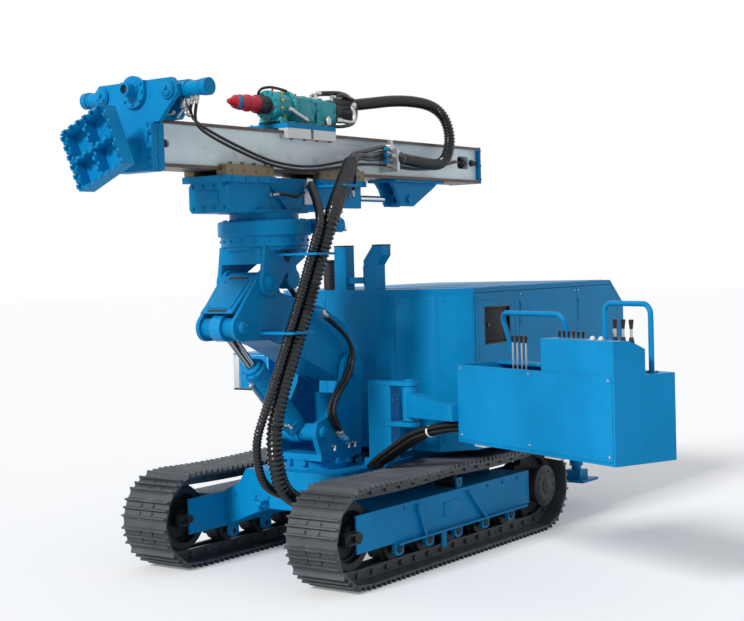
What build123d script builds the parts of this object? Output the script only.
from build123d import *
import math
import os

# A crawler drilling rig in millimetres. +X is forward, +Y is the machine's left, +Z is up.
# The working origin is on the ground, midway between the tracks and between their axles.

# General fits
pin_fit = 0.05
rod_fit = 0.1
face_gap = 0.3
door_gap = 3

# Tracks
track_height = 580
track_centre = 619
shoe_width = 346
axle_x = 1008
shoe_count = 39
grouser_height = 22
shoe_plate = 12
link_height = 60
link_width = 26
link_spread = 48
track_sag = 14
wheel_z = track_height / 2
pin_radius = wheel_z - grouser_height - shoe_plate - link_height / 2
pin_line = 4 * axle_x + 2 * math.pi * pin_radius
pitch = pin_line / shoe_count
rail_radius = pin_radius * math.cos(pitch / 2 / pin_radius) - link_height / 2

# Track frames and the wheels in them
frame_half_width = 120
frame_plate = 12
frame_bottom = 200
frame_top = 411
flange_reach = 28
flange_x = (-784, 655)
frame_ribs = ((445, 372), (-104, -290))
bearing_block = 24
roller_radius = 60
roller_x = (-620, -310, 0, 310, 620)
roller_half_width = 66
roller_shaft = 18
carrier_x = -60
carrier_radius = 34
carrier_shaft = 14
idler_axle = 25
yoke_thickness = 15
drum_radius = 110
cover_radius = 135
cover_depth = 44
motor_radius = 80
sprocket_teeth = 10

# Chassis between the tracks
deck_half_width = 330
deck_front = 690
deck_rear = -760
rail_rear = -2100
deck_bottom = 200
deck_top = 560
cross_members = ((deck_front - 90, deck_front), (deck_rear, deck_rear + 90))
tie_eye_radius = 26

# Slewing base and boom pivots, as X and Z
slew_x = 410
bearing_radius = 192
bearing_height = 60
turret_flange_radius = 188
turret_flange_height = 40
boom_pivot = (270, 1145)
head_pivot = (1000, 1685)
lift_eye = (1220, 1440)
lift_foot = (585, 790)
tilt_eye = (660, 1700)
tilt_foot = (330, 1330)
turret_plate = 35
turret_inside = 150
boom_half_width = 140
boom_plate = 25
head_plate = 28
pivot_pin = 30
lift_pin = 20
tilt_pin = 18
cap_radius = 46
cap_depth = 20

# Boom cylinders
lift_barrel_radius = 68
lift_rod_radius = 30
lift_eye_radius = 78
lift_eye_width = 76
lift_eye_bore = 44
lift_barrel_length = 560
lift_rod_start = 255
tilt_barrel_radius = 55
tilt_rod_radius = 25
tilt_eye_radius = 60
tilt_eye_width = 60
tilt_eye_bore = 46
tilt_barrel_length = 330
tilt_rod_start = 165

# Slewing drive under the cradle
mast_slew_x = 840
drive_radius = 270
drive_bottom = 1890
drive_height = 148
drive_step = 60
table_radius = 200
table_height = 42
cradle_top = 2282

# Mast
mast_bottom = 2310
mast_height = 245
mast_front = 1800
mast_rear = -1335
flange_half_width = 125
web_half_width = 95
mast_flange = 20

# Carriage and drill head
carriage_x = (335, 790)
carriage_gap = 14
carriage_half_width = 155
carriage_plate = 28
drill_rise = 113
shank_radius = 44
collar_radius = 50
carriage_z = mast_bottom + mast_height + carriage_gap
drill_z = carriage_z + carriage_plate + drill_rise
bulkhead_x = (-212, -188)

# Clamp and claw at the mast's front
clamp_x = mast_front + 20
clamp_plate = 30
clamp_pin_y = 238
clamp_reach = 453
guide_radius = 36
guide_bore = 24
guide_flange_radius = 84
claw_x = clamp_x + 255
claw_side = 324
claw_depth = 105
claw_wall = 16
claw_turn = 23
claw_z = 2395

# Housing behind the boom
housing_front = -50
housing_rear = -2250
housing_half_width = 750
housing_bottom = 620
housing_top = 1610
housing_wall = 30
chamfer_x = -222
chamfer_y = 590
slope_x = -2050
slope_z = 1440
door_edges = (-225, -757, -1541, -2147)
hinge_radius = 10
hinge_pin = 4
hinge_rows = ((720, 800), (1370, 1450))
post_setback = 8
edge_bevel = 5
window_depth = 14
window_x = (-650, -335)
window_z = (1255, 1490)
floor_height = 45
rest_x = -95
rest_top = 1885
engine_size = (900, 560, 620)
engine_x = -1480

# Rear jacks
jack_x = -1950
jack_y = 500
jack_tube_radius = 48
jack_leg_radius = 34
jack_foot_z = 175
jack_foot_side = 230

# Control console on its swinging arm
hinge_x = 250
hinge_y = 585
hinge_low = 840
hinge_high = 1050
post_y = (308, 472)
post_x = (205, 295)
post_top = 1060
arm_angle = 66.7
arm_length = 500
console_length = 1340
console_depth = 390
console_bottom = 765
console_top = 1200
console_sheet = 12
tower_start = 770
tower_depth = 200
tower_top = 1370
tower_step = 45
tray_depth = 270
rail_tube = 14

# Hoses, as corner points from the mast end down
hose_radius = 47
small_hose_radius = 26
hose_route = (
    (380, 290, 2370),
    (780, 450, 2060),
    (870, 330, 1570),
    (1130, 300, 1010),
    (1185, 300, 760),
    (1080, 300, 440),
    (700, 300, 382),
)
small_route = (
    (640, 185, 2250),
    (864, 450, 2070),
    (954, 330, 1580),
    (1214, 300, 1020),
    (1250, 215, 770),
    (1130, 215, 470),
    (702, 215, 430),
)
hose_bends = (160, 160, 160, 160, 130)
# run along the route, share of it
cradle_seam = (0, 0.45)
head_seam = (1, 0.45)
boom_seam = (2, 0.3)
turret_seam = (3, 0.5)
loop_ends = ((620, 225, 1500), (430, 225, 740))
loop_radius = 11
port_radius = 17
port_reach = port_radius + face_gap


def block(x0, x1, y0, y1, z0, z1):
    """Box from its lowest corner to its highest."""
    return Pos((x0 + x1) / 2, (y0 + y1) / 2, (z0 + z1) / 2) * Box(x1 - x0, y1 - y0, z1 - z0)


def drum(centre, radius, length, axis):
    """Round bar about an axis X, Y or Z, centred on a point."""
    turn = {"X": Rot(0, 90, 0), "Y": Rot(90, 0, 0), "Z": Rot(0, 0, 0)}[axis]
    return Pos(*centre) * turn * Cylinder(radius, length)


def bar(start, end, radius):
    """Round bar from one point to another."""
    run = Vector(*end) - Vector(*start)
    place = Plane(origin=start, z_dir=run)
    return place * Cylinder(radius, run.length, align=(Align.CENTER, Align.CENTER, Align.MIN))


def side_plate(points, y0, y1):
    """Flat plate with an outline in X and Z, from y0 to y1."""
    plane = Plane(origin=(0, y1, 0), x_dir=(1, 0, 0), z_dir=(0, -1, 0))
    face = plane * make_face(Polyline(*points, close=True))
    return extrude(face, amount=y1 - y0, dir=(0, -1, 0))


def plan_plate(points, z0, z1):
    """Flat plate with an outline in X and Y, from z0 to z1."""
    face = Pos(0, 0, z0) * make_face(Polyline(*points, close=True))
    return extrude(face, amount=z1 - z0, dir=(0, 0, 1))


def front_plate(points, x0, x1):
    """Flat plate with an outline in Y and Z, from x0 to x1."""
    plane = Plane(origin=(x0, 0, 0), x_dir=(0, 1, 0), z_dir=(1, 0, 0))
    face = plane * make_face(Polyline(*points, close=True))
    return extrude(face, amount=x1 - x0, dir=(1, 0, 0))


def at(point, y):
    """Point in X and Z moved to a Y."""
    return (point[0], y, point[1])


def both_sides(piece):
    """A piece and its mirror image across the machine's middle."""
    return piece + mirror(piece, Plane.XZ)


def seam_point(route, seam):
    """Point on one straight run of a route."""
    run, share = seam
    start = Vector(*route[run])
    return start + (Vector(*route[run + 1]) - start) * share


def hose(points, radius, bends):
    """Round hose along straight runs joined by arcs."""
    line = FilletPolyline(*points, radius=bends) if len(points) > 2 else Line(*points)
    run = Vector(*points[1]) - Vector(*points[0])
    return sweep(Plane(origin=points[0], z_dir=run) * Circle(radius), path=line)


def hose_piece(route, radius, first, last):
    """Part of a route between two seams, or from its start or to its end."""
    i = first[0] if first else 0
    j = last[0] if last else len(route) - 2
    points = [tuple(seam_point(route, first))] if first else [route[0]]
    points += list(route[i + 1:j + 1])
    points += [tuple(seam_point(route, last))] if last else [route[-1]]
    return hose(points, radius, hose_bends[i:j])


def hose_holder(seam, y0):
    """Plate from a body's left side that the two main hoses run through."""
    middle = seam_point(hose_route, seam)
    second = seam_point(small_route, seam)
    alone = seam == cradle_seam
    x0 = middle.X - hose_radius - 15
    x1 = middle.X + hose_radius + 7 if alone else second.X + small_hose_radius + 15
    plate = block(x0, x1, y0, middle.Y + hose_radius + 15, middle.Z - 7, middle.Z + 7)
    held = [(hose_route, hose_radius, middle)]
    if not alone:
        held.append((small_route, small_hose_radius, second))
    for route, radius, point in held:
        run = (Vector(*route[seam[0] + 1]) - Vector(*route[seam[0]])).normalized() * 80
        plate -= bar(tuple(point - run), tuple(point + run), radius + face_gap)
    return plate


# Track loop


def pin_line_point(s):
    """Place and outward direction on the pin line, from the rear axle forward along the ground."""
    run = 2 * axle_x
    turn = math.pi * pin_radius
    s = s % pin_line
    if s < run:
        return (s - axle_x, wheel_z - pin_radius), (0, -1)
    if s < run + turn:
        a = (s - run) / pin_radius
        out = (math.sin(a), -math.cos(a))
        return (axle_x + pin_radius * out[0], wheel_z + pin_radius * out[1]), out
    if s < 2 * run + turn:
        x = axle_x - (s - run - turn)
        half = abs(x) / axle_x
        sag = 4 * track_sag * half * (1 - half)
        return (x, wheel_z + pin_radius - sag), (0, 1)
    a = (s - 2 * run - turn) / pin_radius
    out = (-math.sin(a), math.cos(a))
    return (-axle_x + pin_radius * out[0], wheel_z + pin_radius * out[1]), out


def link_line(offset):
    """Outline at one offset from the pin line, with a corner at each pin."""
    points = []
    for i in range(shoe_count):
        (x, z), out = pin_line_point(i * pitch)
        points.append((x + out[0] * offset, z + out[1] * offset))
    return points


def shoe_profile(i):
    """Corners of one shoe with its three grousers, outside the pins."""
    plate_top = link_height / 2 + shoe_plate
    tip = plate_top + grouser_height
    (ax, az), _ = pin_line_point(i * pitch)
    (bx, bz), _ = pin_line_point((i + 1) * pitch)
    length = math.hypot(bx - ax, bz - az)
    along = ((bx - ax) / length, (bz - az) / length)
    out = (along[1], -along[0])
    steps = [(0.03, plate_top - shoe_plate / 2), (0.05, plate_top)]
    for middle in (0.15, 0.5, 0.85):
        steps += [(middle - 0.07, plate_top), (middle - 0.03, tip)]
        steps += [(middle + 0.03, tip), (middle + 0.07, plate_top)]
    steps += [(0.95, plate_top), (0.97, plate_top - shoe_plate / 2)]
    points = []
    for share, height in steps:
        x = ax + along[0] * share * length + out[0] * height
        z = az + along[1] * share * length + out[1] * height
        points.append((x, z))
    return points


def track():
    """Left track: shoes with grousers, on two rails of links."""
    outline = []
    for i in range(shoe_count):
        outline += shoe_profile(i)
    low = track_centre - shoe_width / 2
    shoes = side_plate(outline, low, low + shoe_width)
    shoes -= side_plate(link_line(link_height / 2), low - 1, low + shoe_width + 1)
    loop = shoes
    for side in (-1, 1):
        y = track_centre + side * link_spread
        edge = link_line(link_height / 2 + shoe_plate / 3)
        rail = side_plate(edge, y - link_width / 2, y + link_width / 2)
        rail -= side_plate(link_line(-link_height / 2), y - link_width, y + link_width)
        loop += rail
    return loop


# Track frame and wheels


def track_frame():
    """Left track frame: a channel open below, whose cheeks straddle the idler, with its motor plate."""
    low = track_centre - frame_half_width
    high = track_centre + frame_half_width
    frame = block(-top_plate_end, top_plate_end, low, high, frame_top - frame_plate, frame_top)
    for y in (low, high - frame_plate):
        frame += block(cheek_rear, cheek_front, y, y + frame_plate, frame_bottom, frame_top)
    frame += block(flange_x[0], flange_x[1], high - frame_plate, high + flange_reach,
                   frame_bottom - frame_plate, frame_bottom)
    for upper, lower in frame_ribs:
        points = ((upper - 14, frame_top - 26), (upper + 14, frame_top - 26), (lower + 14, frame_bottom),
                  (lower - 14, frame_bottom))
        frame += side_plate(points, high, high + flange_reach - 6)
    frame += block(130, 180, high - frame_plate, high, roller_z - roller_radius - 6, frame_bottom)
    for x in roller_x:
        for y in (low, high - bearing_block):
            hanger = block(x - 42, x + 42, y, y + bearing_block, roller_z - 30, frame_bottom)
            frame += chamfer(hanger.edges().filter_by(Axis.Y).group_by(Axis.Z)[0], 16)
        frame -= drum((x, track_centre, roller_z), roller_shaft + pin_fit, 4 * frame_half_width, "Y")
    for side in (-1, 1):
        y = track_centre + side * (roller_half_width + 22)
        ear = block(carrier_x - 30, carrier_x + 30, y - yoke_thickness / 2, y + yoke_thickness / 2,
                    frame_top - frame_plate / 2, carrier_z + carrier_shaft + 10)
        frame += ear
    frame -= drum((axle_x, track_centre, wheel_z), idler_axle + pin_fit, 4 * frame_half_width, "Y")
    frame -= drum((carrier_x, track_centre, carrier_z), carrier_shaft + pin_fit, 4 * frame_half_width, "Y")
    motor_plate = block(-axle_x, cheek_rear, low, low + frame_plate, frame_bottom, frame_top)
    motor_plate += drum((-axle_x, low + frame_plate / 2, wheel_z), drum_radius + 30, frame_plate, "Y")
    return frame + motor_plate


roller_z = wheel_z - pin_radius + link_height / 2 + face_gap + roller_radius
carrier_share = (abs(carrier_x) + pitch / 2) / axle_x
chord_drop = 4 * track_sag * carrier_share * (1 - carrier_share)
carrier_z = wheel_z + pin_radius - link_height / 2 - chord_drop - face_gap - carrier_radius
rim_radius = rail_radius + 18
rim_rise = frame_top - frame_plate - wheel_z
top_plate_end = axle_x - math.sqrt(rim_radius ** 2 - rim_rise ** 2) - 22
cheek_front = axle_x + 12
cheek_rear = 158 - axle_x


def rollers():
    """Left bottom rollers with flanges, and the carrier roller on top."""
    pieces = []
    groove = link_spread - link_width / 2 - 3
    for x in roller_x:
        wheel = drum((x, track_centre, roller_z), roller_radius, 2 * roller_half_width, "Y")
        wheel += drum((x, track_centre, roller_z), roller_radius + 12, 2 * groove, "Y")
        wheel += drum((x, track_centre, roller_z), roller_shaft, 2 * frame_half_width, "Y")
        pieces.append(wheel)
    carrier = drum((carrier_x, track_centre, carrier_z), carrier_radius, 2 * roller_half_width, "Y")
    carrier += drum((carrier_x, track_centre, carrier_z), carrier_shaft, 2 * roller_half_width + 60, "Y")
    pieces.append(carrier)
    return pieces


def idler():
    """Left front idler with its guide rim, hub, axle and yoke blocks."""
    centre = (axle_x, track_centre, wheel_z)
    groove = link_spread - link_width / 2 - 3
    wheel = drum(centre, rail_radius - face_gap, 2 * roller_half_width, "Y")
    recess = drum(centre, rail_radius - 40, 2 * roller_half_width + 2, "Y")
    recess -= drum(centre, rail_radius - 20, 30, "Y")
    wheel -= recess
    wheel += drum(centre, rim_radius, 2 * groove, "Y") - drum(centre, rail_radius - 60, 2 * groove + 2, "Y")
    wheel += drum(centre, 62, 2 * roller_half_width + 20, "Y")
    wheel += drum(centre, idler_axle, 2 * frame_half_width, "Y")
    for side in (-1, 1):
        y = track_centre + side * (frame_half_width - frame_plate - 16)
        wheel += block(axle_x - 55, axle_x + 95, y - 14, y + 14, wheel_z - 38, wheel_z + 38)
    return wheel


def sprocket():
    """Left drive sprocket, with teeth between the two rails of links."""
    outer = pin_radius - 4
    root = rail_radius + 2
    points = []
    for i in range(sprocket_teeth):
        for part, radius in ((-0.32, root), (-0.14, outer), (0.14, outer), (0.32, root)):
            a = 2 * math.pi * (i + part) / sprocket_teeth
            points.append((-axle_x + radius * math.cos(a), wheel_z + radius * math.sin(a)))
    half = link_spread - link_width / 2 - 7
    return side_plate(points, track_centre - half, track_centre + half)


def drive_motor():
    """Left travel motor and its gear drum, inside the frame plate and the sprocket."""
    inner = track_centre - frame_half_width
    half = link_spread - link_width / 2 - 7
    body = drum((-axle_x, (inner + frame_plate + track_centre - half) / 2, wheel_z), drum_radius,
                track_centre - half - inner - frame_plate, "Y")
    return body + drum((-axle_x, inner - 20, wheel_z), motor_radius, 40, "Y")


def drive_cover():
    """Left outer gear drum with its domed cover."""
    half = link_spread - link_width / 2 - 7
    start = track_centre + half
    rim = track_centre + shoe_width / 2 - 8 - cover_depth
    cover = drum((-axle_x, (start + rim) / 2, wheel_z), drum_radius, rim - start, "Y")
    disc = drum((-axle_x, rim + cover_depth / 2, wheel_z), cover_radius, cover_depth, "Y")
    disc = chamfer(disc.edges().filter_by(GeomType.CIRCLE).sort_by(Axis.Y)[-1], 14, 30)
    return cover + disc


# Chassis


def chassis():
    """Deck box with two arched cross members, the rails that carry the housing and four tie-down lugs."""
    half = track_centre - frame_half_width
    deck = block(deck_rear, deck_front, -deck_half_width, deck_half_width, deck_bottom + 130, deck_top)
    arch = ((deck_half_width, deck_top), (deck_half_width + 60, deck_top - 90), (half, deck_top - 140),
            (half, deck_bottom), (deck_half_width + 30, deck_bottom + 60),
            (deck_half_width - 150, deck_bottom + 130))
    arch = arch + tuple((-y, z) for y, z in reversed(arch))
    for x0, x1 in cross_members:
        deck += front_plate(arch, x0, x1)
    for side in (-1, 1):
        deck += block(rail_rear, deck_rear + 10, min(side * 200, side * 320), max(side * 200, side * 320),
                      deck_top - 100, deck_top)
    for x, out, z, spread in ((deck_front, 1, deck_bottom + 170, 200), (rail_rear, -1, deck_top - 60, 260)):
        for y in (-spread, spread):
            lug = block(min(x, x + out * 76), max(x, x + out * 76), y - 42, y + 42, z - 12, z + 12)
            lug -= drum((x + out * 40, y, z), tie_eye_radius, 60, "Z")
            deck += lug
    return deck


def slew_bearing():
    """Fixed ring with bolt lugs under the slewing base."""
    z = deck_top + bearing_height / 2
    ring = drum((slew_x, 0, z), bearing_radius, bearing_height, "Z")
    for i in range(12):
        lug = block(bearing_radius - 10, bearing_radius + 24, -16, 16, z + 2, z + bearing_height / 2 - 4)
        ring += Pos(slew_x, 0, 0) * Rot(0, 0, 15 + 30 * i) * lug
    return ring


def turret():
    """Slewing base with two plates that carry the boom's pivot and the lift cylinder's foot."""
    floor = deck_top + bearing_height
    top = floor + turret_flange_height
    body = drum((slew_x, 0, (floor + top) / 2), turret_flange_radius, turret_flange_height, "Z")
    px, pz = boom_pivot
    fx, fz = lift_foot
    outline = (
        (px - 60, top),
        (fx + 20, top),
        (fx + 62, fz - 20),
        (fx + 50, fz + 58),
        (fx - 60, fz + 90),
        (px + 130, pz - 90),
        (px + 80, pz + 60),
        (px - 80, pz + 50),
        (px - 96, pz - 60),
    )
    plate = side_plate(outline, turret_inside, turret_inside + turret_plate)
    middle = turret_inside + turret_plate / 2
    plate += drum((px, middle, pz), 98, turret_plate, "Y")
    plate += drum((fx, middle, fz), 66, turret_plate, "Y")
    spacer = (lift_eye_width / 2 + 2, turret_inside)
    plate += drum((fx, (spacer[0] + spacer[1]) / 2, fz), 52, spacer[1] - spacer[0], "Y")
    body += both_sides(plate)
    reach = turret_inside + 1
    body += block(px - 60, px - 35, -reach, reach, top, pz - 160)
    body += plan_plate(((px - 60, -185), (fx + 20, -185), (fx + 20, 185), (px - 60, 185)), floor, top)
    port = (loop_ends[1][0], loop_ends[1][2])
    body += drum(at(port, turret_inside + turret_plate + 30), port_radius, 60, "Y")
    body += capped_pin(boom_pivot, pivot_pin, turret_inside + turret_plate)
    return body + capped_pin(lift_foot, lift_pin, turret_inside + turret_plate)


def capped_pin(point, radius, half_length):
    """Pin across the machine with a bolted cap at each end."""
    pin = drum(at(point, 0), radius, 2 * half_length, "Y")
    for side in (-1, 1):
        pin += drum(at(point, side * (half_length + cap_depth / 2)), radius + 16, cap_depth, "Y")
    return pin


def boom():
    """Box boom: two plates with the pivot bosses, the front cover, the belly and the rear cover."""
    hx, hz = head_pivot
    lx, lz = lift_eye
    px, pz = boom_pivot
    gx, gz = tilt_foot
    inside = boom_half_width - boom_plate
    outline = (
        (px - 60, pz + 60),
        (gx - 100, gz - 20),
        (gx - 90, gz + 25),
        (gx - 40, gz + 90),
        (gx + 150, gz + 190),
        (hx - 120, hz - 60),
        (hx - 60, hz + 45),
        (hx + 62, hz + 44),
        (lx + 62, lz + 44),
        (lx + 10, lz - 76),
        (lx - 75, lz - 76),
        (lx - 220, lz - 80),
        (lx - 360, lz - 125),
        (px + 60, pz - 70),
    )
    plate = side_plate(outline, inside, boom_half_width)
    middle = (inside + boom_half_width) / 2
    plate += drum((hx, middle, hz), 76, boom_plate, "Y")
    plate += drum((lx, middle, lz), 76, boom_plate, "Y")
    plate += drum((px, middle, pz), 98, boom_plate, "Y")
    knuckle = lift_eye_width / 2 + face_gap
    plate += drum((lx, (knuckle + inside) / 2, lz), 56, inside - knuckle, "Y")
    lug = tilt_eye_width / 2 + face_gap
    plate += drum((gx, (lug + inside) / 2, gz), 38, inside - lug, "Y")
    body = both_sides(plate)
    reach = inside + 1
    front_cover = ((hx + 46, hz + 40), (hx + 62, hz + 44), (lx + 62, lz + 84), (lx + 46, lz + 80))
    belly = ((lx - 160, lz - 78), (lx - 220, lz - 80), (lx - 360, lz - 125), (px + 110, pz - 46),
             (px + 110, pz - 26), (lx - 360, lz - 105), (lx - 220, lz - 60), (lx - 160, lz - 58))
    rear_cover = ((px - 60, pz + 60), (gx - 100, gz - 20), (gx - 90, gz + 25), (gx - 76, gz + 18),
                  (gx - 80, gz - 30), (px - 40, pz + 50))
    for cover in (front_cover, belly, rear_cover):
        body += side_plate(cover, -reach, reach)
    body += drum((px, 0, pz), 80, 2 * inside, "Y")
    body += drum((hx, 0, hz), 60, 2 * inside, "Y")
    body -= drum((px, 0, pz), pivot_pin + pin_fit, 400, "Y")
    body -= drum((hx, 0, hz), pivot_pin + pin_fit, 400, "Y")
    body += hose_holder(boom_seam, boom_half_width - 2)
    port = (loop_ends[0][0], loop_ends[0][2])
    body += drum(at(port, boom_half_width + 50), port_radius, 104, "Y")
    body += capped_pin(lift_eye, lift_pin, boom_half_width)
    return body + drum((gx, 0, gz), tilt_pin, 2 * inside, "Y")


def unit(start, end):
    """Unit direction in X and Z from one point to another, and the distance."""
    dx = end[0] - start[0]
    dz = end[1] - start[1]
    length = math.hypot(dx, dz)
    return (dx / length, dz / length), length


def along(start, direction, distance):
    """Point at a distance from a start in X and Z, on the machine's middle."""
    return (start[0] + direction[0] * distance, 0, start[1] + direction[1] * distance)


def barrel(foot, eye, radius, rod_radius, eye_radius, eye_width, length, pin):
    """Cylinder barrel from the eye at its foot to its gland."""
    direction, _ = unit(foot, eye)
    body = drum(at(foot, 0), eye_radius - 14, eye_width, "Y")
    body += bar(along(foot, direction, eye_radius - 20), along(foot, direction, length), radius)
    body += bar(along(foot, direction, length), along(foot, direction, length + 26), radius - 10)
    body -= bar(along(foot, direction, eye_radius + 30), along(foot, direction, length), rod_radius + 5)
    body -= bar(along(foot, direction, length - 1), along(foot, direction, length + 40), rod_radius + rod_fit)
    body -= drum(at(foot, 0), pin + pin_fit, 400, "Y")
    return body


def piston_rod(foot, eye, rod_radius, eye_radius, eye_width, bore, start):
    """Piston rod from its inner end to its eye, whose bore is wider than the pin in it."""
    direction, reach = unit(foot, eye)
    stop = reach - eye_radius + 16
    body = bar(along(foot, direction, start), along(foot, direction, stop), rod_radius)
    body += drum(at(eye, 0), eye_radius, eye_width, "Y")
    body -= drum(at(eye, 0), bore, 400, "Y")
    return body


def head_bracket():
    """Tilting bracket under the slewing drive, with the ear of the tilt cylinder."""
    hx, hz = head_pivot
    ex, ez = tilt_eye
    inner = boom_half_width + 4
    outer = inner + head_plate
    top = drive_bottom
    outline = (
        (mast_slew_x + 200, top),
        (mast_slew_x + 215, hz + 100),
        (hx + 74, hz - 10),
        (hx + 20, hz - 72),
        (hx - 60, hz - 45),
        (hx - 130, hz + 40),
        (ex + 30, ez + 120),
        (mast_slew_x - 190, top),
    )
    plate = side_plate(outline, inner, outer)
    plate += drum((hx, (inner + outer) / 2, hz), 76, head_plate, "Y")
    plate -= drum((hx - 150, inner, hz + 145), 30, 200, "Y")
    body = both_sides(plate)
    body += block(mast_slew_x - 195, mast_slew_x + 202, -inner - 1, inner + 1, top - 20, top)
    body += drum((mast_slew_x, 0, top - 10), drive_radius - 30, 20, "Z")
    body += block(mast_slew_x + 190, mast_slew_x + 212, -inner - 1, inner + 1, hz + 105, top - 10)
    lug = tilt_eye_width / 2 + face_gap
    outline = ((ex - 40, ez + 10), (ex + 40, ez + 10), (ex + 90, top - 15), (ex - 5, top - 15))
    ear = side_plate(outline, lug, lug + 30)
    ear += drum((ex, lug + 15, ez), 58, 30, "Y")
    body += both_sides(ear)
    body += hose_holder(head_seam, outer - 2)
    body += capped_pin(head_pivot, pivot_pin, outer)
    return body + drum((ex, 0, ez), tilt_pin, 2 * (lug + 30), "Y")


# Slewing drive, cradle and mast


def slew_drive():
    """Fixed housing of the mast's slewing drive, with its lower ring, worm case and motor."""
    z0 = drive_bottom
    z1 = z0 + drive_height
    ring = drum((mast_slew_x, 0, (z0 + drive_step + z1) / 2), drive_radius, drive_height - drive_step, "Z")
    ring = fillet(ring.edges().group_by(Axis.Z)[-1], 14)
    ring = chamfer(ring.edges().group_by(Axis.Z)[0], 5)
    ring += drum((mast_slew_x, 0, z0 + drive_step / 2), drive_radius - 17, drive_step, "Z")
    worm_x = mast_slew_x - drive_radius + 32
    worm_z = z0 + drive_height - 35
    ring += bar((worm_x, -90, worm_z), (worm_x, 300, worm_z), 44)
    ring += bar((worm_x, 300, worm_z), (worm_x, 375, worm_z), 40)
    return ring


def slew_table():
    """Turning neck between the slewing drive and the cradle."""
    z0 = drive_bottom + drive_height
    return drum((mast_slew_x, 0, z0 + table_height / 2), table_radius, table_height, "Z")


def cradle():
    """Cradle that carries the mast on its guides and holds the slide cylinder."""
    z0 = drive_bottom + drive_height + table_height
    top = cradle_top
    body = block(mast_slew_x - 220, mast_slew_x + 220, -150, 150, z0, z0 + 20)
    body += block(930, 1300, -125, 125, z0, top)
    body += block(500, 940, -105, 105, z0 + 10, top)
    body += block(60, 510, -125, 125, top - 30, top)
    body += block(60, 510, -125, -85, z0 + 36, top)
    body += block(60, 510, 85, 125, z0 + 36, top)
    for x0, length in guide_x:
        body += block(x0 - 15, x0 + length + 15, -160, 160, top - 36, top)
    face = ((-125, z0), (125, z0), (143, z0 + 20), (143, top - 56), (125, top - 36), (-125, top - 36),
            (-143, top - 56), (-143, z0 + 20))
    body += front_plate(face, 1292, 1312)
    rib = ((935, top - 36), (905, top - 36), (735, z0 + 10), (765, z0 + 10))
    body += side_plate(rib, -122, 122)
    body += block(444, 608, 104, 110, z0 + 44, top - 40)
    body -= drum((315, 0, slide_z), slide_barrel_radius + face_gap, 790, "X")
    return body + hose_holder(cradle_seam, 100)


slide_z = 2186
slide_barrel_radius = 40
slide_rod_radius = 20
slide_bracket = (-905, -335)
guide_x = ((60, 415), (930, 400))
shoe_lip = 12


def guide_shoes():
    """Bronze guide shoes that grip the mast's lower flange."""
    pieces = []
    top = mast_bottom + mast_flange + shoe_lip
    for x, length in guide_x:
        for side in (-1, 1):
            outer = flange_half_width + 32
            shoe = block(x, x + length, flange_half_width + face_gap, outer, cradle_top, top)
            shoe += block(x, x + length, web_half_width - 10, outer, cradle_top, mast_bottom - face_gap)
            lip = mast_bottom + mast_flange + face_gap
            shoe += block(x, x + length, web_half_width + 4, outer, lip, top)
            pieces.append(shoe if side > 0 else mirror(shoe, Plane.XZ))
    return pieces


def slide_barrel():
    """Slide cylinder's barrel inside the cradle."""
    body = drum((320, 0, slide_z), slide_barrel_radius, 760, "X")
    body -= bar((-30, 0, slide_z), (680, 0, slide_z), slide_rod_radius + 4)
    body -= bar((-70, 0, slide_z), (-29, 0, slide_z), slide_rod_radius + rod_fit)
    return body


def slide_rod():
    """Slide cylinder's rod, fixed in the mast's bracket."""
    start = slide_bracket[1] - 10
    return bar((start, 0, slide_z), (410, 0, slide_z), slide_rod_radius)


def mast_beam():
    """Mast beam with recessed webs, a chain slot on top and an adjusting window at the rear."""
    top = mast_bottom + mast_height
    beam = block(mast_rear, mast_front, -flange_half_width, flange_half_width, mast_bottom, top)
    cut = block(mast_rear - 1, mast_front + 1, web_half_width, flange_half_width + 1,
                mast_bottom + mast_flange, top - mast_flange)
    beam -= both_sides(cut)
    beam -= block(mast_rear + 120, mast_front - 80, -30, 30, top - 60, top + 1)
    window = block(mast_rear + 90, mast_rear + 235, -200, 200, top - 150, top - 66)
    beam -= fillet(window.edges().filter_by(Axis.Y), 26)
    oval = block(mast_front - 76, mast_front - 48, -200, 200, top - 140, top - 98)
    for x in (mast_front - 76, mast_front - 48):
        oval += drum((x, 0, top - 119), 21, 400, "Y")
    beam -= oval
    return beam + block(mast_rear - 16, mast_rear, -flange_half_width, flange_half_width, mast_bottom, top)


def bulkhead():
    """Hose bulkhead on the mast's left web, with its row of couplings and the clamp hoses' clip."""
    x0, x1 = bulkhead_x
    low = mast_bottom + mast_flange + shoe_lip + 6
    plate = block(x0, x1, web_half_width, flange_half_width + 110, low, mast_bottom + 175)
    clip = flange_half_width + 36
    plate += block(x0, x1, clip, clip + 26, mast_bottom + 170, mast_bottom + 236)
    for i in range(4):
        z = mast_bottom + 190 - 38 * i
        plate += drum(((x0 + x1) / 2, flange_half_width + 49, z), 12, 60, "X")
    return plate


def slide_mount():
    """Bracket under the mast that holds the slide cylinder's rod."""
    x0, x1 = slide_bracket
    outline = ((x0, mast_bottom), (x1, mast_bottom), (x1 - 60, mast_bottom - 60), (x1 - 120, slide_z - 45),
               (x1 - 260, slide_z - 45), (x0 + 60, mast_bottom - 40))
    body = both_sides(side_plate(outline, 45, 70))
    body += block(x0, x1, -110, 110, mast_bottom - 16, mast_bottom)
    body += block(x1 - 250, x1 - 150, -46, 46, slide_z - 40, slide_z + 40)
    body += drum((x1 - 205, 0, slide_z), 26, 170, "Y")
    body -= bar((x1 - 10, 0, slide_z), (x1 - 245, 0, slide_z), slide_rod_radius + pin_fit)
    return body


def feed_chain():
    """Feed chain in the slot on top of the mast, as one plain strand."""
    top = mast_bottom + mast_height
    return block(mast_rear + 230, mast_front - 82, -16, 16, top - 60, top - 40)


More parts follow.
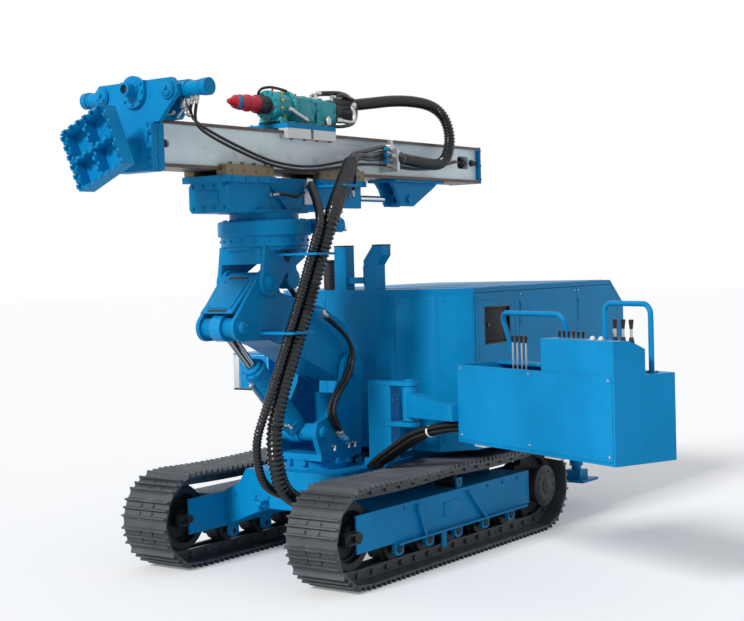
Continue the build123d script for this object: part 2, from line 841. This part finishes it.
def carriage():
    """Carriage plate over the mast's upper flange."""
    x0, x1 = carriage_x
    return block(x0, x1, -carriage_half_width, carriage_half_width, carriage_z, carriage_z + carriage_plate)


def carriage_shoes():
    """White clamp shoes that grip the mast's upper flange, two to a side."""
    top = mast_bottom + mast_height
    x0, x1 = carriage_x
    half = (x1 - x0) / 2 - 12
    pieces = []
    for x in (x0, x1 - half):
        for side in (-1, 1):
            outer = flange_half_width + 30
            lip = top - mast_flange
            shoe = block(x, x + half, flange_half_width + face_gap, outer, lip - 24, carriage_z)
            shoe += block(x, x + half, web_half_width - 10, outer, top + face_gap, carriage_z)
            shoe += block(x, x + half, web_half_width + 4, outer, lip - 24, lip - face_gap)
            pieces.append(shoe if side > 0 else mirror(shoe, Plane.XZ))
    return pieces


def drill_head():
    """Rotary head: round front case with its flange, middle case, rear case and the foot."""
    z0 = carriage_z + carriage_plate
    x1 = carriage_x[1]
    body = drum((x1 - 90, 0, drill_z), 80, 180, "X")
    body += drum((x1 - 14, 0, drill_z), 86, 28, "X")
    body += drum((x1 - 166, 0, drill_z), 84, 26, "X")
    middle = block(x1 - 350, x1 - 170, -76, 76, z0 + 14, drill_z + 64)
    body += chamfer(middle.edges().filter_by(Axis.X), 14)
    body += drum((x1 - 370, 0, drill_z), 62, 50, "X")
    rear = block(x1 - 580, x1 - 390, -66, 66, z0 + 18, drill_z + 58)
    body += chamfer(rear.edges().filter_by(Axis.X), 18)
    body += block(x1 - 440, x1 - 30, -90, 90, z0, z0 + 20)
    body -= drum((x1 - 40, 0, drill_z), collar_radius + 0.1, 200, "X")
    return body


def head_motor():
    """Dark hydraulic motor behind the rotary head, with its port block."""
    x0 = carriage_x[1] - 580
    body = drum((x0 - 95, 0, drill_z), 60, 190, "X")
    body += drum((x0 - 20, 0, drill_z), 72, 40, "X")
    port = block(x0 - 190, x0 - 100, -40, 40, drill_z, drill_z + 92)
    return body + chamfer(port.edges().filter_by(Axis.Y).group_by(Axis.Z)[-1], 12)


def shank():
    """Turning shank with its collar, red sleeve, band and pointed end."""
    x1 = carriage_x[1]
    body = drum((x1 + 3, 0, drill_z), collar_radius, 206, "X")
    body += drum((x1 + 172, 0, drill_z), shank_radius, 136, "X")
    body += drum((x1 + 172, 0, drill_z), shank_radius + 5, 20, "X")
    body += drum((x1 + 255, 0, drill_z), 38, 40, "X")
    body += Pos(x1 + 302, 0, drill_z) * Rot(0, 90, 0) * Cone(34, 12, 60)
    return body


# Clamp and claw at the mast's front


def clamp_body():
    """Front block on the mast's end with the clamp's front and rear plates."""
    top = mast_bottom + mast_height
    front_x = clamp_x + clamp_plate
    block_x = front_x + 50
    body = block(mast_front, block_x, -130, 130, mast_bottom - 26, top - 24)
    for x0, x1 in ((mast_front, mast_front + 43), (mast_front + 47, mast_front + 90)):
        body += block(x0, x1, -152, 152, mast_bottom - 20, top - 25)
    body += block(mast_front, mast_front + 90, -140, 140, mast_bottom - 20, top - 25)
    low = top - 18
    pin_z = drill_z - 14
    lobe = ((clamp_pin_y + 66, pin_z - 18), (clamp_pin_y + 60, pin_z + 22), (clamp_pin_y + 24, pin_z + 60))
    outline = ((-165, low), (165, low), *lobe, *((-y, z) for y, z in reversed(lobe)))
    body += front_plate(outline, clamp_x, front_x)
    back = front_plate(outline, clamp_x - 130, clamp_x - 130 + clamp_plate)
    body += back & block(clamp_x - 130, clamp_x, -500, 500, top, drill_z + 60)
    body += block(clamp_x - 130, front_x, -140, 140, top, top + 20)
    body += block(mast_front, front_x, -130, 130, top - 26, top + 1)
    for y in (-clamp_pin_y, clamp_pin_y):
        body += drum((front_x - 6, y, pin_z), 48, 40, "X")
        body += drum((clamp_x - 60, y, pin_z), 30, 100, "X")
    shield = drum((front_x + 10, 0, drill_z - 10), guide_flange_radius, 20, "X")
    half = guide_flange_radius
    shield += block(front_x, front_x + 20, -half, half, drill_z - 20, pin_z + 60)
    body += shield
    body += drum((front_x + 45, 0, drill_z), guide_radius, 70, "X")
    body -= drum((clamp_x - 20, 0, drill_z), guide_bore, 400, "X")
    boss = drum((block_x + 70, 0, claw_z), 56, 140, "X")
    body += boss & block(block_x, block_x + 140, -60, 60, 0, top - 30)
    body -= drum((block_x + 70, 0, claw_z), 26 + pin_fit, 240, "X")
    return body + both_sides(clamp_cylinder())


def clamp_jaw():
    """Left jaw between the clamp's plates, pushed by its own cylinder rod."""
    gap = clamp_plate - 130
    x0 = clamp_x + gap + rod_fit
    x1 = clamp_x - rod_fit
    jaw = block(x0, x1, 48, 150, drill_z - 60, drill_z + 34)
    jaw -= drum(((x0 + x1) / 2, 0, drill_z), 62, 200, "X")
    return jaw + block((x0 + x1) / 2 - 12, (x0 + x1) / 2 + 12, 150, 206, drill_z - 24, drill_z + 10)


def clamp_cylinder():
    """Left clamp cylinder beyond the plates, with its end cap."""
    z = drill_z - 12
    start = clamp_pin_y - 20
    body = bar((clamp_x - 50, start, z), (clamp_x - 50, clamp_reach - 20, z), 40)
    return body + bar((clamp_x - 50, clamp_reach - 34, z), (clamp_x - 50, clamp_reach, z), 45)


def claw():
    """Square claw frame with toothed crossed plates, on a short spigot."""
    half = claw_side / 2
    inner = half - claw_wall
    outer = block(0, claw_depth, -half, half, -half, half)
    outer -= block(claw_wall, claw_depth + 1, -inner, inner, -inner, inner)
    teeth = 6
    step = claw_side / teeth
    cutter = None
    for i in range(teeth):
        middle = -half + (i + 0.5) * step
        outline = ((claw_depth - 26, middle - 8), (claw_depth + 1, middle - 20),
                   (claw_depth + 1, middle + 20), (claw_depth - 26, middle + 8))
        notch = plan_plate(outline, -half - 1, half + 1)
        cutter = notch if cutter is None else cutter + notch
    cross = block(claw_wall, claw_depth - 6, -claw_wall / 2, claw_wall / 2, -half + 4, half - 4)
    cross += block(claw_wall, claw_depth - 6, -half + 4, half - 4, -claw_wall / 2, claw_wall / 2)
    body = outer + cross
    body -= cutter
    body -= Rot(90, 0, 0) * cutter
    for i in range(teeth):
        middle = -half + (i + 0.5) * step
        tooth = side_plate(((claw_depth - 62, half - 1), (claw_depth, half - 1), (claw_depth, half + 8),
                            (claw_depth - 40, half + 8)), middle - 12, middle + 12)
        body += tooth
        body += Rot(90, 0, 0) * tooth
    body += drum((-88, 0, 0), 26, 176, "X")
    return Pos(claw_x, 0, claw_z) * Rot(claw_turn, 0, 0) * body


# Housing


def housing_outline(inset):
    """Plan of the housing, moved inward by an inset."""
    front = housing_front - inset
    rear = housing_rear + inset
    side = housing_half_width - inset
    slant = inset * 0.45
    return (
        (front, -chamfer_y + slant),
        (front, chamfer_y - slant),
        (chamfer_x - slant, side),
        (rear, side),
        (rear, -side),
        (chamfer_x - slant, -side),
    )


def housing_frame():
    """Housing floor with its bearers and the posts between the panels."""
    z0 = housing_bottom
    z1 = z0 + floor_height
    body = plan_plate(housing_outline(0), z0, z1)
    for y in (-260, 260):
        body += block(rail_rear + 20, housing_front - 100, y - 60, y + 60, deck_top, z0)
    inner = housing_half_width - housing_wall - post_setback
    for x in door_edges:
        middle = x - 40 if x == door_edges[0] else x
        post = block(middle - 25, middle + 25, inner - 50, inner, z1, housing_top - housing_wall)
        body += both_sides(post - slope_cutter(housing_wall))
    body += block(housing_front - housing_wall - 60, housing_front - housing_wall - face_gap, -25, 25, z1,
                  housing_top - housing_wall)
    for i in (1, 2):
        for low, high in hinge_rows:
            x, y = hinge_line(i)
            knuckle = bar((x, y, high + 1), (x, y, high + 46), hinge_radius)
            knuckle += bar((x, y, low), (x, y, high + 2), hinge_pin)
            knuckle += block(x - 7, x + 7, inner - 2, y, high + 1, high + 46)
            body += both_sides(knuckle)
    return body + both_sides(jack_tube())


def housing_front_wall():
    """Front wall with the two slanted corner panels."""
    z0 = housing_bottom + floor_height
    z1 = housing_top - housing_wall
    wall = plan_plate(housing_outline(0), z0, z1) - plan_plate(housing_outline(housing_wall), z0 - 1, z1 + 1)
    return wall & block(door_edges[0] + door_gap, 0, -900, 900, z0, z1)


def housing_rear_wall():
    """Rear wall with its louvres, the sloped upper edge and the side corners behind the doors."""
    z0 = housing_bottom + floor_height
    z1 = housing_top - housing_wall
    wall = plan_plate(housing_outline(0), z0, z1) - plan_plate(housing_outline(housing_wall), z0 - 1, z1 + 1)
    wall = wall & block(housing_rear, door_edges[3] - door_gap, -900, 900, z0, z1)
    for i in range(9):
        z = z0 + 160 + 58 * i
        for y in (-290, 290):
            wall -= block(housing_rear - 1, housing_rear + housing_wall + 1, y - 210, y + 210, z, z + 24)
    return wall - slope_cutter(housing_wall)


def slope_cutter(depth):
    """Everything above the sloped rear end of the roof, less a depth."""
    points = ((slope_x, housing_top - depth), (housing_rear - 10, slope_z - depth - 9),
              (housing_rear - 10, housing_top + 100), (slope_x, housing_top + 100))
    return side_plate(points, -900, 900)


def housing_roof():
    """Roof with its sloped rear end."""
    z1 = housing_top
    z0 = z1 - housing_wall
    roof = plan_plate(housing_outline(0), z0, z1) & block(slope_x, 0, -900, 900, z0, z1)
    points = ((slope_x, z1), (housing_rear, slope_z), (housing_rear, slope_z - housing_wall),
              (slope_x, z1 - housing_wall))
    return roof + side_plate(points, -housing_half_width, housing_half_width)


def housing_door(i):
    """Left side panel between two edges, numbered from the front; the middle two are hinged doors."""
    x1 = door_edges[i] - door_gap / 2
    x0 = door_edges[i + 1] + door_gap / 2
    z0 = housing_bottom + floor_height + door_gap
    z1 = housing_top - housing_wall - door_gap
    face = housing_half_width
    back = face - housing_wall
    outline = ((x0, back), (x1, back), (x1, face - edge_bevel), (x1 - edge_bevel, face), (x0, face))
    door = plan_plate(outline, z0, z1)
    if x0 < slope_x:
        door -= slope_cutter(housing_wall + door_gap)
    if i == 0:
        door -= block(window_x[0], window_x[1], face - window_depth, face + 1, window_z[0], window_z[1])
        for middle in (door_edges[0] - 45, door_edges[1] + 14):
            door += block(middle - 10, middle + 10, back - post_setback, back + 1, z0, z1)
        return door
    x, y = hinge_line(i)
    for low, high in hinge_rows:
        door -= block(x - hinge_radius - 4, x1 + 1, y - 40, y + 20, low - 4, high + 50)
        knuckle = bar((x, y, low), (x, y, high), hinge_radius)
        knuckle += block(x - hinge_radius - 6, x, y - 8, y + 8, low, high)
        door += knuckle - bar((x, y, low - 1), (x, y, high + 1), hinge_pin + pin_fit)
    return door


def hinge_line(i):
    """Place in plan of a left door's hinge line, at its front edge inside the panel's face."""
    return door_edges[i] - door_gap / 2 - 14, housing_half_width - hinge_radius


def mast_rest():
    """Rest on the front of the roof that takes the lowered mast."""
    z0 = housing_top
    x0 = rest_x - 45
    x1 = rest_x + 45
    body = block(x0, x1, -180, -90, z0, rest_top)
    flare = ((50, z0), (150, z0), (150, rest_top - 120), (196, rest_top - 60), (196, rest_top),
             (120, rest_top), (50, rest_top - 90))
    body += front_plate(flare, x0, x1)
    return body + block(rest_x - 25, rest_x + 25, -95, 55, z0 + 40, z0 + 80)


def side_box():
    """Box on the right side of the housing, beside its slanted front corner."""
    y1 = -housing_half_width
    return block(housing_front - 510, housing_front, y1 - 310, y1, 950, 1190)


def breather():
    """Upright breather on the roof."""
    z0 = housing_top
    return bar((-200, -330, z0), (-200, -330, z0 + 180), 45)


def engine_block():
    """Engine as one plain block in the housing."""
    length, width, height = engine_size
    z0 = housing_bottom + floor_height
    return block(engine_x - length / 2, engine_x + length / 2, -width / 2, width / 2, z0, z0 + height)


# Rear jacks


def jack_tube():
    """Left jack's outer tube under the housing floor."""
    z0 = jack_foot_z + 110
    tube = bar((jack_x, jack_y, z0), (jack_x, jack_y, housing_bottom), jack_tube_radius)
    tube += block(jack_x - 90, jack_x + 90, jack_y - 90, jack_y + 90, housing_bottom - 16, housing_bottom)
    tube -= bar((jack_x, jack_y, z0 + 20), (jack_x, jack_y, housing_bottom - 60), jack_leg_radius + 2)
    return tube - bar((jack_x, jack_y, z0 - 5), (jack_x, jack_y, z0 + 21), jack_leg_radius + rod_fit)


def jack_leg():
    """Left jack's leg with its foot plate."""
    leg = bar((jack_x, jack_y, jack_foot_z + 10), (jack_x, jack_y, housing_bottom - 70), jack_leg_radius)
    half = jack_foot_side / 2
    foot = jack_foot_z + 18
    leg += block(jack_x - half, jack_x + half, jack_y - half, jack_y + half, jack_foot_z, foot)
    return leg + block(jack_x - 60, jack_x + 60, jack_y - 60, jack_y + 60, foot, jack_foot_z + 80)


# Console


def in_arm(x0, x1, y0, y1, z0, z1):
    """Box in the arm's own frame: x along the arm from its hinge, y to the operator's side."""
    return Pos(hinge_x, hinge_y, 0) * Rot(0, 0, arm_angle) * block(x0, x1, y0, y1, z0, z1)


def console_post():
    """Post on the chassis with three shelves that carry the console's hinge."""
    body = block(post_x[0], post_x[1], deck_half_width - 60, post_y[1] - 36, deck_top, deck_top + 50)
    body += block(post_x[0], post_x[1], post_y[0], post_y[1], deck_top + 45, post_top)
    root = post_y[0]
    taper = ((post_x[0], root), (post_x[1], root), (hinge_x + 50, hinge_y), (hinge_x - 50, hinge_y))
    for z in (hinge_low - 30, hinge_high):
        body += plan_plate(taper, z, z + 26)
        body += drum((hinge_x, hinge_y, z + 13), 55, 26, "Z")
    body += block(post_x[0], post_x[1], root, hinge_y - 30, hinge_low - 180, hinge_low - 164)
    body -= drum((hinge_x, hinge_y, (hinge_low + hinge_high) / 2), 22 + pin_fit, 400, "Z")
    return body


def console_arm():
    """Swinging arm with its hinge pin, tapered towards the console."""
    z0 = hinge_low
    z1 = hinge_high
    arm = drum((hinge_x, hinge_y, (z0 + z1) / 2), 48, z1 - z0 - 4, "Z")
    taper = side_plate(((20, z0 + 26), (20, z1 - 40), (arm_length, z1 - 80), (arm_length, z0 + 40)), -42, 42)
    arm += Pos(hinge_x, hinge_y, 0) * Rot(0, 0, arm_angle) * taper
    arm += drum((hinge_x, hinge_y, (z0 + z1) / 2), 22, z1 - z0 + 60, "Z")
    return arm


def console_case():
    """Console case: an open tray inboard and a tower with a curved shoulder outboard."""
    z0 = console_bottom
    z1 = console_top
    sheet = console_sheet
    case = block(0, console_length, 0, console_depth, z0, z1)
    shoulder = (
        (0, z1),
        (0, tower_top),
        (tower_depth * 0.45, tower_top),
        (tower_depth * 0.72, tower_top - tower_step * 0.4),
        (tower_depth, tower_top - tower_step),
        (tower_depth, z1),
    )
    case += front_plate(shoulder, tower_start, console_length)
    case -= block(sheet, console_length - sheet, sheet, console_depth - sheet, z0 + sheet, z1 - sheet)
    case -= block(sheet, tower_start - sheet, sheet, tray_depth, z1 - sheet - 1, z1 + 1)
    inside = tower_top - tower_step - sheet
    end = console_length - sheet
    case -= block(tower_start + sheet, end, sheet, tower_depth - sheet, z0 + sheet, inside)
    for places, depth, foot, top, rod, _ in lever_rows:
        for place in places:
            case -= bar((place, depth, foot), (place, depth, top), rod + face_gap)
    return on_arm(case)


def on_arm(piece):
    """A piece drawn from the case's inboard front edge, placed on the swinging arm."""
    return Pos(hinge_x, hinge_y, 0) * Rot(0, 0, arm_angle) * Pos(arm_length, 0, 0) * piece


tower_length = console_length - tower_start
lever_rows = (
    # places along, depth, foot z, knob z, rod radius, knob radius
    ([tower_start * (0.335 + 0.052 * i) for i in range(4)],
     tray_depth - 70, console_bottom + console_sheet, console_top + 160, 5, 11),
    ([tower_start + tower_length * (0.035 + 0.067 * i) for i in range(6)],
     tower_depth * 0.55, tower_top - tower_step, tower_top + 35, 4, 9),
    ([tower_start + tower_length * (0.72 + 0.105 * i) for i in range(3)],
     tower_depth * 0.75, tower_top - tower_step, tower_top + 100, 7, 13),
)


def console_levers():
    """Control levers with their knobs: tall ones in the tray, short and thick ones on the tower."""
    pieces = []
    for places, depth, foot, top, rod, knob in lever_rows:
        for place in places:
            lever = bar((place, depth, foot + face_gap), (place, depth, top), rod)
            lever += bar((place, depth, top - 3 * knob), (place, depth, top), knob)
            pieces.append(on_arm(lever))
    return pieces


def guard_rails():
    """Two bent tube rails that stand on the console's rear ledge."""
    rows = (
        # first leg, last leg, foot depth, top depth, rise
        (console_length * 0.08, console_length * 0.49, console_depth - 60, console_depth - 155, 280),
        (console_length * 0.69, console_length * 0.95, console_depth - 90, console_depth - 90, 340),
    )
    pieces = []
    foot_z = console_top
    for first, last, foot, top, rise in rows:
        height = foot_z + rise
        corners = ((first, foot, foot_z), (first, top, height), (last, top, height), (last, foot, foot_z))
        line = FilletPolyline(*corners, radius=55)
        lean = Vector(*corners[1]) - Vector(*corners[0])
        tube = sweep(Plane(origin=corners[0], z_dir=lean) * Circle(rail_tube), path=line)
        above = block(0, console_length, 0, console_depth, foot_z, height + 2 * rail_tube)
        pieces.append(on_arm(tube & above))
    return pieces


# Hoses


def main_hoses(first, last):
    """The thick and the thin main hose between two seams."""
    sizes = ((hose_route, hose_radius), (small_route, small_hose_radius))
    return [hose_piece(route, radius, first, last) for route, radius in sizes]


def boom_loops():
    """Two thin hoses that hang between the boom's port and the slewing base's port."""
    (ax, y, az), (bx, _, bz) = loop_ends
    pieces = []
    for i in range(2):
        side = y - 26 * i
        knee = (310 - 25 * i, side, 1290 + 12 * i)
        elbow = (545 + 18 * i, side, 950 - 16 * i)
        leave = (Vector(*knee) - Vector(ax, side, az)).normalized() * port_reach
        arrive = (Vector(*elbow) - Vector(bx, side, bz)).normalized() * port_reach
        start = Vector(ax, side, az) + leave
        end = Vector(bx, side, bz) + arrive
        pieces.append(hose((tuple(start), knee, elbow, tuple(end)), loop_radius, (120, 90)))
    return pieces


def feed_hose():
    """Corrugated hose loop from the head's motor to the bulkhead on the mast."""
    x0 = carriage_x[1] - 580 - 190 - 7.4
    y = flange_half_width + 85
    points = (
        (x0, 0, drill_z + 52),
        (-640, 110, drill_z + 120),
        (-850, y - 5, mast_bottom + 300),
        (-700, y, mast_bottom + 90),
        (bulkhead_x[0] - 22, y, mast_bottom + 122),
    )
    return hose(points, 37, (200, 90, 110))


def slide_hoses():
    """Two plain hoses from the bulkhead to the thick hose's upper end."""
    end = Vector(*hose_route[0])
    run = (Vector(*hose_route[1]) - end).normalized()
    side = run.cross(Vector(0, 0, 1)).normalized() * 17
    x0 = bulkhead_x[1] + 20
    y0 = flange_half_width + 49
    pieces = []
    rows = (
        # side of the hose's end, coupling height, way in between
        (1, mast_bottom + 190, (180, 235, 2452)),
        (-1, mast_bottom + 152, (160, 264, 2424)),
    )
    for way, z, middle in rows:
        close = end + side * way - run * 90
        stop = end + side * way - run * 0.5
        points = ((x0, y0, z), (x0 + 110, y0 + 16, z - 8), middle, tuple(close), tuple(stop))
        pieces.append(hose(points, 14, (60, 80, 60)))
    return pieces


def clamp_hoses():
    """Two thin hoses from the left clamp cylinder along the mast to the bulkhead."""
    x0 = bulkhead_x[1] + 19
    y = flange_half_width + 53
    pieces = []
    for i in range(2):
        z = 26 * i
        points = (
            (clamp_x - 50, 330 + 34 * i, drill_z - 12 - 40 - 5),
            (clamp_x - 72, 290 + 34 * i, mast_bottom + 275 - z),
            (1560, y, mast_bottom + 206 - z),
            (830, y, mast_bottom + 38 - 22 * i),
            (600, y, mast_bottom + 38 - 22 * i),
            (150, y, mast_bottom + 108 - 36 * i),
            (x0, y - 4, mast_bottom + 114 - 38 * i),
        )
        pieces.append(hose(points, 8, (40, 60, 120, 120, 120)))
    return pieces


def console_hoses():
    """Three hoses from the console down to the chassis beside the post."""
    pieces = []
    for i in range(3):
        o = -30 * i
        points = ((-4.1, 100 + o, 830), (-100, 100 + o, 800), (-320, -60 + o, 660), (-560, -130 + o, 625),
                  (-610, -150 + o, deck_top + 20))
        pieces.append(on_arm(hose(points, 13, (80, 120, 40))))
    return pieces


# Whole machine


def group(pieces):
    """Solids that share a node."""
    return Compound([solid for piece in pieces for solid in piece.solids()])


def mirrored(piece):
    return mirror(piece, Plane.XZ)


def pair(piece):
    """A left piece and its mirrored right one, as two solids."""
    return group([piece, mirrored(piece)])


left_track = track()
left_frame = track_frame()
left_wheels = rollers() + [idler()]
left_drive = [sprocket(), drive_motor(), drive_cover()]
left_panel = housing_door(0)
lift_eye_size = (lift_eye_radius, lift_eye_width)
tilt_eye_size = (tilt_eye_radius, tilt_eye_width)
left_jaw = clamp_jaw()
left_leg = jack_leg()
nodes = {
    "track_left": left_track,
    "track_right": mirrored(left_track),
    "track_frame_left": left_frame,
    "track_frame_right": mirrored(left_frame),
    "track_wheels": group(left_wheels + [mirrored(wheel) for wheel in left_wheels]),
    "track_drives": group(left_drive + [mirrored(piece) for piece in left_drive]),
    "chassis": chassis(),
    "slew_bearing": slew_bearing(),
    "turret": turret(),
    "boom": boom(),
    "lift_barrel": barrel(lift_foot, lift_eye, lift_barrel_radius, lift_rod_radius, *lift_eye_size,
                          lift_barrel_length, lift_pin),
    "lift_rod": piston_rod(lift_foot, lift_eye, lift_rod_radius, *lift_eye_size, lift_eye_bore,
                           lift_rod_start),
    "tilt_barrel": barrel(tilt_foot, tilt_eye, tilt_barrel_radius, tilt_rod_radius, *tilt_eye_size,
                          tilt_barrel_length, tilt_pin),
    "tilt_rod": piston_rod(tilt_foot, tilt_eye, tilt_rod_radius, *tilt_eye_size, tilt_eye_bore,
                           tilt_rod_start),
    "head_bracket": head_bracket(),
    "slew_drive": slew_drive(),
    "slew_table": slew_table(),
    "cradle": cradle(),
    "guide_shoes": group(guide_shoes()),
    "slide_barrel": slide_barrel(),
    "slide_rod": slide_rod(),
    "slide_mount": slide_mount(),
    "bulkhead": bulkhead(),
    "mast_beam": mast_beam(),
    "feed_chain": feed_chain(),
    "carriage": carriage(),
    "carriage_shoes": group(carriage_shoes()),
    "drill_head": drill_head(),
    "head_motor": head_motor(),
    "shank": shank(),
    "clamp_body": clamp_body(),
    "clamp_jaw_left": left_jaw,
    "clamp_jaw_right": mirrored(left_jaw),
    "claw": claw(),
    "housing_frame": housing_frame(),
    "housing_walls": group([housing_front_wall(), housing_rear_wall(), left_panel, mirrored(left_panel)]),
    "housing_roof": housing_roof(),
    "mast_rest": mast_rest(),
    "side_box": side_box(),
    "breather": breather(),
    "engine_block": engine_block(),
    "jack_leg_left": left_leg,
    "jack_leg_right": mirrored(left_leg),
    "console_post": console_post(),
    "console_arm": console_arm(),
    "console_case": console_case(),
    "console_levers": group(console_levers()),
    "guard_rails": group(guard_rails()),
    "hoses_cradle_head": group(main_hoses(None, head_seam)),
    "hoses_head_boom": group(main_hoses(head_seam, boom_seam)),
    "hoses_boom_turret": group(main_hoses(boom_seam, turret_seam) + boom_loops()),
    "hoses_turret_chassis": group(main_hoses(turret_seam, None)),
    "hose_feed": feed_hose(),
    "hoses_slide": group(slide_hoses()),
    "hoses_clamp": group(clamp_hoses()),
    "hoses_console": group(console_hoses()),
}
for i in (1, 2):
    nodes[f"door_left_{i}"] = housing_door(i)
    nodes[f"door_right_{i}"] = mirrored(housing_door(i))

# The packed origin is at the middle of the machine's box, on the ground.
boxes = [shape.bounding_box() for shape in nodes.values()]
low_corner = [min(tuple(box.min)[i] for box in boxes) for i in range(3)]
high_corner = [max(tuple(box.max)[i] for box in boxes) for i in range(3)]
shift = (-(low_corner[0] + high_corner[0]) / 2, -(low_corner[1] + high_corner[1]) / 2, -low_corner[2])
os.makedirs("parts", exist_ok=True)
for name, shape in nodes.items():
    export_step(Pos(*shift) * shape, f"parts/{name}.step")
